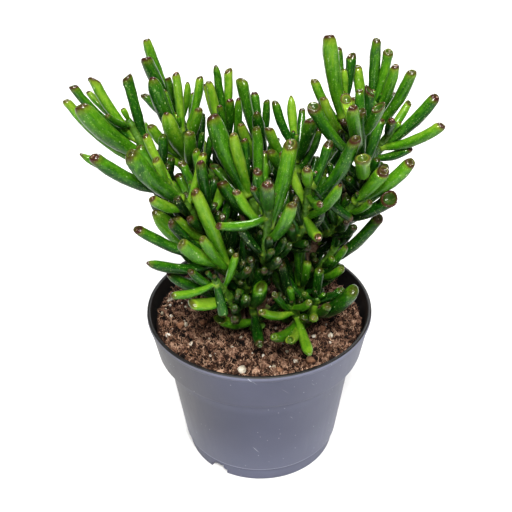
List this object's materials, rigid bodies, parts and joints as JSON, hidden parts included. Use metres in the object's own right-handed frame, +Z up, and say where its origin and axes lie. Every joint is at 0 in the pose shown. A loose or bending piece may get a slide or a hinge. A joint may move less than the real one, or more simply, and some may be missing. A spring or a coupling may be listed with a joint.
{
  "type": "potted succulent plant",
  "caption": "Bushy finger-leaved jade plant with woody stems, growing in a round tapered nursery pot of soil.",
  "frame": {"origin": "on the pot's axis, at the plane that the pot stands on", "axes": "+Z up, along the pot's axis; -Y towards the front, the side that the picture was taken from; +X to the right of it"},
  "size_m": [0.1798, 0.1358, 0.2357],
  "materials": {
    "pot": "satin",
    "soil": "matte",
    "bark": "matte",
    "leaf": "gloss"
  },
  "bodies": {
    "root": {"pot": "pot", "shoot_back_high": "leaf", "shoot_back_left": "leaf", "shoot_back_left_high": "leaf", "shoot_back_left_low": "leaf", "shoot_back_low": "leaf", "shoot_back_mid": "leaf", "shoot_back_right_high": "leaf", "shoot_back_right_low": "leaf", "shoot_centre_back": "leaf", "shoot_centre_left": "leaf", "shoot_far_left": "leaf", "shoot_far_right": "leaf", "shoot_foot_left": "leaf", "shoot_foot_mid": "leaf", "shoot_front_heart": "leaf", "shoot_inner_right": "leaf", "shoot_left_crown": "leaf", "shoot_left_foot": "leaf", "shoot_left_front": "leaf", "shoot_left_mid": "leaf", "shoot_left_top": "leaf", "shoot_low_left": "leaf", "shoot_right_foot": "leaf", "shoot_right_front": "leaf", "shoot_right_heart": "leaf", "shoot_right_high": "leaf", "shoot_right_low": "leaf", "shoot_right_top": "leaf", "shoot_rosette": "leaf", "shoot_rosette_side": "leaf", "shoot_side_left": "leaf", "shoot_side_right": "leaf", "soil": "soil", "stem_back": "bark", "stem_front": "bark", "stem_left": "bark", "stem_middle": "bark", "stem_right": "bark", "stem_sprout": "bark"}
  },
  "joints": []
}
